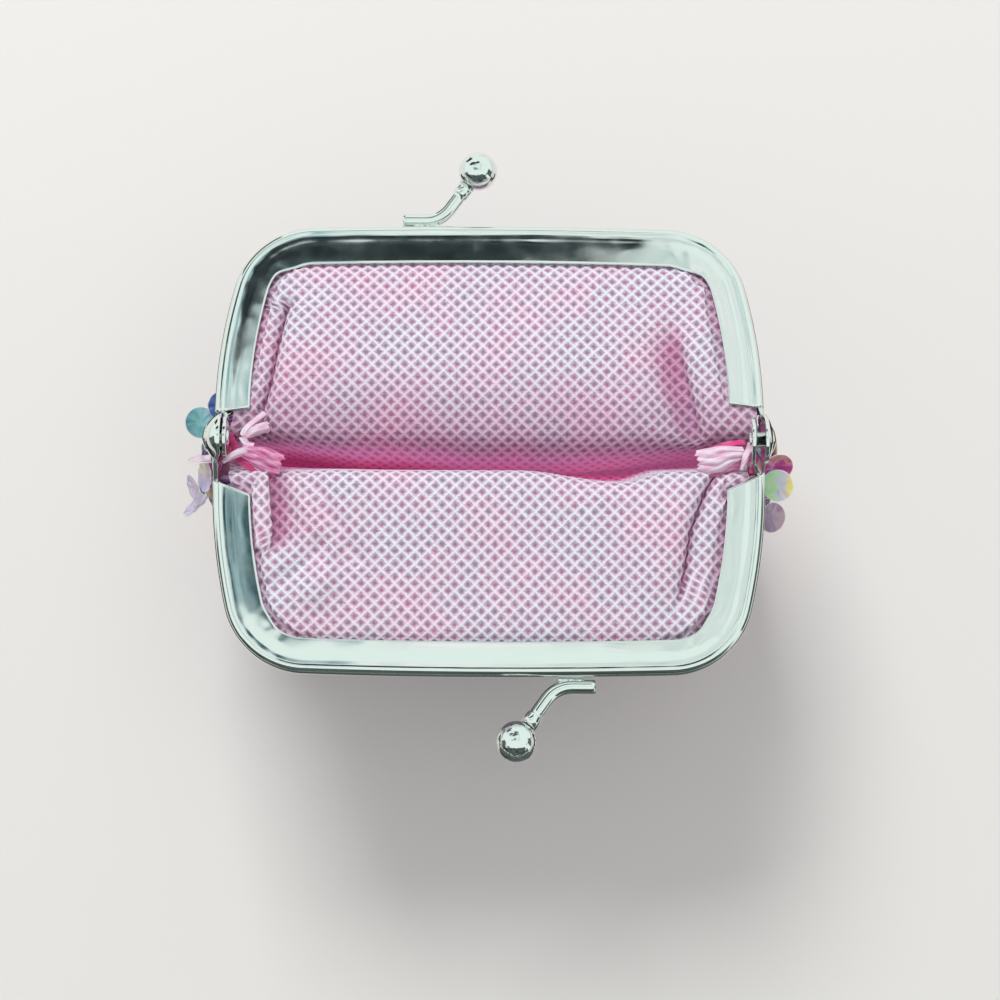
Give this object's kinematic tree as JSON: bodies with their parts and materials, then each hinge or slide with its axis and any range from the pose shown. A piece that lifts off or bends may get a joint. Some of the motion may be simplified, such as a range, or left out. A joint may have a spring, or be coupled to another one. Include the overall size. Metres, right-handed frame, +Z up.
{
  "type": "coin purse",
  "caption": "Coin purse with a polished folded steel frame, ball clasp, embossed pink lining and sequinned pouch, standing with its mouth held wide open.",
  "frame": {"origin": "middle of the bounding box, on the surface that the pouch stands on", "axes": "+X along the hinge axis to the right, +Y to the half of the frame at the top of the picture, +Z up out of the open mouth"},
  "size_m": [0.0966, 0.0974, 0.0617],
  "materials": {
    "polished_steel": "bright polished plating",
    "pink_lining": "pale pink non-woven with a grid of pressed dots",
    "sequin_cloth": "cloth covered in sequins of mixed pale pearly colours",
    "sequin_film": "glossy pearly film",
    "paper_cord": "twisted kraft paper"
  },
  "bodies": {
    "pouch": {"back_pouch_shell": "sequin_cloth", "front_pouch_shell": "sequin_cloth", "back_pouch_lining": "pink_lining", "front_pouch_lining": "pink_lining", "left_seam_end": "pink_lining", "right_seam_end": "pink_lining", "left_hinge_rivet": "polished_steel", "right_hinge_rivet": "polished_steel", "left_sequin_1": "sequin_film", "left_sequin_2": "sequin_film", "left_sequin_3": "sequin_film", "left_sequin_4": "sequin_film", "left_sequin_5": "sequin_film", "left_sequin_6": "sequin_film", "right_sequin_1": "sequin_film", "right_sequin_2": "sequin_film", "right_sequin_3": "sequin_film"},
    "back_frame": {"back_frame_half": "polished_steel", "back_clasp_stem": "polished_steel", "back_clasp_ball": "polished_steel", "back_paper_cord": "paper_cord", "back_mouth_lining": "pink_lining", "back_mouth_shell": "sequin_cloth"},
    "front_frame": {"front_frame_half": "polished_steel", "front_clasp_stem": "polished_steel", "front_clasp_ball": "polished_steel", "front_paper_cord": "paper_cord", "front_mouth_lining": "pink_lining", "front_mouth_shell": "sequin_cloth"}
  },
  "joints": [
    {"name": "back_frame_swing", "type": "hinge", "parent": "pouch", "child": "back_frame", "pos_m": [0, 0, 0.058], "axis": [1, 0, 0], "range_deg": [0, 95]},
    {"name": "front_frame_swing", "type": "hinge", "parent": "pouch", "child": "front_frame", "pos_m": [0, 0, 0.058], "axis": [1, 0, 0], "range_deg": [-95, 0]}
  ],
  "couplings": [
    {"joint": "front_frame_swing", "follows": "back_frame_swing", "ratio": -1}
  ]
}
